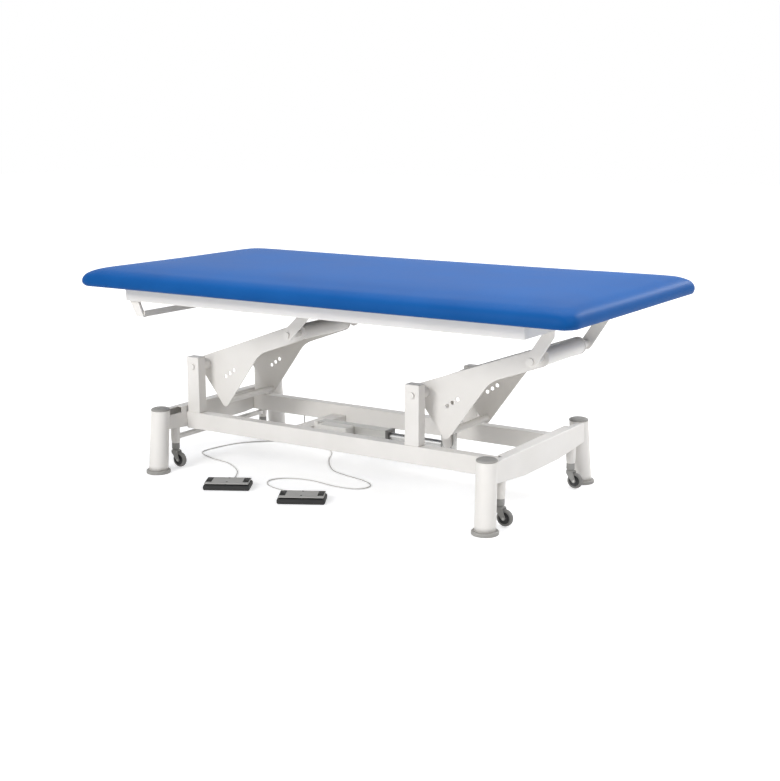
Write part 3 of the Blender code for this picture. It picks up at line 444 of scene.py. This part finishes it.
# Actuator: anodised aluminium profile with a grey moulded front cap, and a ground steel push rod.
# The cap is told from the profile by its place along the length.
def drawn(tree, place, scale, detail):
    """Noise stretched along one axis, like the marks of drawing or grinding."""
    spread = add(tree, "ShaderNodeMapping", {"Scale": scale}, {"Vector": place})
    return noise(tree, spread.outputs["Vector"], 1.0, detail)


CAP_X = 0.031
anodised, tree, shader, place = finish_named("anodised_aluminium_profile", 0.42, metallic=0.6)
metal = tint(tree, shader, drawn(tree, place, (4.0, 300.0, 300.0), 3.0), ("#B9B8B4", "#CAC9C5"))
axis = add(tree, "ShaderNodeSeparateXYZ", links={"Vector": place})
front = add(tree, "ShaderNodeMath", {1: CAP_X}, {0: axis.outputs["X"]}, operation="GREATER_THAN")
body = add(tree, "ShaderNodeMix", {7: linear("#6A6967")}, {0: front.outputs["Value"], 6: metal},
           data_type="RGBA")
tree.links.new(body.outputs[2], shader.inputs["Base Color"])
dress("actuator_profile", anodised)

ground, tree, shader, place = finish_named("ground_steel_rod", 0.36, metallic=1.0)
tint(tree, shader, drawn(tree, place, (350.0, 6.0, 6.0), 2.0), ("#B4B4B2", "#D2D2D0"))
dress("actuator_rod", ground)

# Motor housing and control box: moulded ABS, off-white on the motor and pale grey on the box.
white_abs = moulded("moulded_white_abs", 0.5, 1.54, 25.0, 3.0, ("#DEDCD7", "#EAE8E3"), (350.0, 0.08))
pale_abs = moulded("moulded_pale_abs", 0.5, 1.54, 25.0, 3.0, ("#B3B2AE", "#C4C3BF"), (350.0, 0.08))
dress("actuator_motor", white_abs)
dress("control_box", pale_abs)

# Foot switches: black moulded bases, pale rocker plates with dark ribbed treads at both ends and
# two dark pivot plugs in the middle of the long edges.
black_abs = moulded("moulded_black_abs", 0.62, 1.54, 40.0, 3.0, ("#121212", "#1D1D1C"), (380.0, 0.1))
plate_abs = moulded("moulded_grey_plate", 0.5, 1.54, 30.0, 4.0, ("#A3A29F", "#B5B4B1"))


def ribbed_bar(length, depth, low, high, ribs):
    """A profile with a flat base and a top of cosine ribs, carried straight along the depth; the first
    and the last row are drawn in so that the ends look moulded."""
    u = np.linspace(0, 1, 12 * ribs + 1)
    crest = high - 0.0012 * (0.5 + 0.5 * np.cos(2 * math.pi * ribs * u))
    x = np.concatenate([length * (u - 0.5), [length / 2, -length / 2]])
    z = np.concatenate([crest, [low, low]])
    row = np.array([-0.5, -0.5, 0.5, 0.5]) * depth + np.array([0.0, 0.0008, -0.0008, 0.0])
    drop = np.array([0.0007, 0.0, 0.0, 0.0007])[:, None]
    z = np.maximum(z[None, :] - drop, low)
    return np.stack([np.broadcast_to(x, z.shape), np.broadcast_to(row[:, None], z.shape), z], axis=-1)


TREAD_X = 0.0635
for name, (x, y) in SWITCHES.items():
    dress("switch_base_" + name, black_abs)
    dress("switch_rocker_" + name, plate_abs)
    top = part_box("switch_rocker_" + name)[1][2]
    spin = np.array([along_switch, out, (0.0, 0.0, 1.0)])
    spot = np.array((x, y, 0))
    for word, side in (("left", -1), ("right", 1)):
        shape = ribbed_bar(0.020, 0.054, top - 0.001, top + 0.0016, 3) + np.array((side * TREAD_X, 0.004, 0))
        mesh = grid_mesh("switch_tread_" + name + "_" + word, shape @ spin + spot, wrap_v=True, cap=True)
        stand("switch_tread_" + name + "_" + word, mesh, "rocker_" + name, black_abs)
    for word, shift in (("front", -0.022), ("back", 0.030)):
        plug = [(0.0003, top - 0.001), (0.0035, top - 0.001), (0.0035, top + 0.0005)]
        plug += [(0.0027, top + 0.0009), (0.0003, top + 0.0009)]
        grid = turned(plug, (0, shift, 0), 24) @ spin + spot
        mesh = grid_mesh("switch_plug_" + name + "_" + word, grid, wrap_v=True, cap=True)
        stand("switch_plug_" + name + "_" + word, mesh, "rocker_" + name, black_abs)


# Tube plugs: off-white moulded inserts that close the open ends of the top frame's long tubes.
# Each is a rounded plate with a softened edge on a shank pressed into the tube.
def rounded_slab(length, depth, low, high, corner, steps=8):
    """A rounded rectangle carried from low to high, its last rows drawn in to soften the edge."""
    turn = np.radians(np.concatenate([np.linspace(a, a + 90, steps) for a in (-90, 0, 90, 180)]))
    side_x = np.repeat([1, 1, -1, -1], steps)
    side_y = np.repeat([-1, 1, 1, -1], steps)
    soft = min(0.4 * (high - low), 0.0008)
    rows = [[corner, low], [0.0, low], [0.0, high - soft]]
    rows = np.array(rows + [[0.3 * soft, high - 0.3 * soft], [soft, high]])
    inset = rows[:, :1]
    r = np.maximum(corner - inset, 0.0002)
    x = side_x * (length / 2 - inset - r) + r * np.cos(turn)
    y = side_y * (depth / 2 - inset - r) + r * np.sin(turn)
    return np.stack([x, y, np.broadcast_to(rows[:, 1:], x.shape)], axis=-1)


for side in ("near", "far"):
    low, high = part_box("top_rail_" + side)
    y, z = (low[1] + high[1]) / 2, (low[2] + high[2]) / 2
    for word, x, face in (("left", low[0], -1), ("right", high[0], 1)):
        wide, tall = high[1] - low[1] - 0.001, high[2] - low[2] - 0.001
        slab = rounded_slab(wide, tall, -0.006, 0.0025, 0.003)
        grid = np.stack([x + face * slab[..., 2], y + face * slab[..., 0], z + slab[..., 1]], axis=-1)
        mesh = grid_mesh("tube_plug_" + side + "_" + word, grid, wrap_v=True, cap=True)
        stand("tube_plug_" + side + "_" + word, mesh, "top", white_abs)


# Studio: a plain pale floor that keeps the table's shadow, a white surround and soft lamps from
# the front left, the right, behind and above.
def seen_directly(tree):
    """One for rays of the camera, mirrors and glass, and zero for the light that bounces."""
    path = add(tree, "ShaderNodeLightPath").outputs
    value = path["Is Camera Ray"]
    for name in ("Is Glossy Ray", "Is Transmission Ray"):
        either = add(tree, "ShaderNodeMath", links={0: value, 1: path[name]}, operation="MAXIMUM")
        value = either.outputs["Value"]
    return value


floor_mesh = bpy.data.meshes.new("studio_floor")
floor_mesh.from_pydata([(-20, -20, 0), (20, -20, 0), (20, 20, 0), (-20, 20, 0)], [], [(0, 1, 2, 3)])
floor_look = bpy.data.materials.new("studio_floor")
floor_look.use_nodes = True
tree = floor_look.node_tree
tree.nodes.clear()
matt = add(tree, "ShaderNodeBsdfDiffuse", {"Color": (0.78, 0.78, 0.78, 1.0)})
reach = add(tree, "ShaderNodeVectorMath", links={0: add(tree, "ShaderNodeTexCoord").outputs["Object"]},
            operation="LENGTH")
fade = add(tree, "ShaderNodeMapRange", {"From Min": 1.6, "From Max": 5.0, "To Min": 0.52, "To Max": 1.0},
           {"Value": reach.outputs["Value"]})
lift = add(tree, "ShaderNodeMath", links={0: seen_directly(tree), 1: fade.outputs["Result"]},
           operation="MULTIPLY")
glow = add(tree, "ShaderNodeEmission", {"Color": (1.0, 1.0, 1.0, 1.0)}, {"Strength": lift.outputs["Value"]})
both = add(tree, "ShaderNodeAddShader", links={0: matt.outputs["BSDF"], 1: glow.outputs["Emission"]})
add(tree, "ShaderNodeOutputMaterial", links={"Surface": both.outputs["Shader"]})
floor_mesh.materials.append(floor_look)
studio_floor = bpy.data.objects.new("studio_floor", floor_mesh)
bpy.context.scene.collection.objects.link(studio_floor)

world = bpy.data.worlds.new("studio")
world.use_nodes = True
bpy.context.scene.world = world
tree = world.node_tree
tree.nodes.clear()
soft = add(tree, "ShaderNodeBackground", {"Color": (1.0, 1.0, 1.0, 1.0), "Strength": 0.44})
white = add(tree, "ShaderNodeBackground", {"Color": (1.0, 1.0, 1.0, 1.0), "Strength": 1.0})
pick = add(tree, "ShaderNodeMixShader", links={0: seen_directly(tree), 1: soft.outputs["Background"],
                                               2: white.outputs["Background"]})
add(tree, "ShaderNodeOutputWorld", links={"Surface": pick.outputs["Shader"]})

for name, spot, aim, size, power in (("key", (-0.8, -4.9, 3.0), (0, 0, 0.35), 1.5, 128),
                                     ("front", (-0.8, -4.6, 0.7), (0, 0, 0.25), 2.0, 22),
                                     ("right", (3.4, -0.6, 3.2), (0.4, 0, 0.35), 2.0, 60),
                                     ("rim", (1.7, 4.2, 2.6), (0.6, 0, 0.7), 1.2, 60),
                                     ("above", (0.2, 0.6, 3.6), (0, 0, 0.5), 3.0, 85)):
    lamp = bpy.data.lights.new(name, "AREA")
    lamp.size = size
    lamp.energy = power
    lamp_object = bpy.data.objects.new(name, lamp)
    lamp_object.location = spot
    lamp_object.rotation_euler = (Vector(aim) - Vector(spot)).to_track_quat("-Z", "Y").to_euler()
    bpy.context.scene.collection.objects.link(lamp_object)
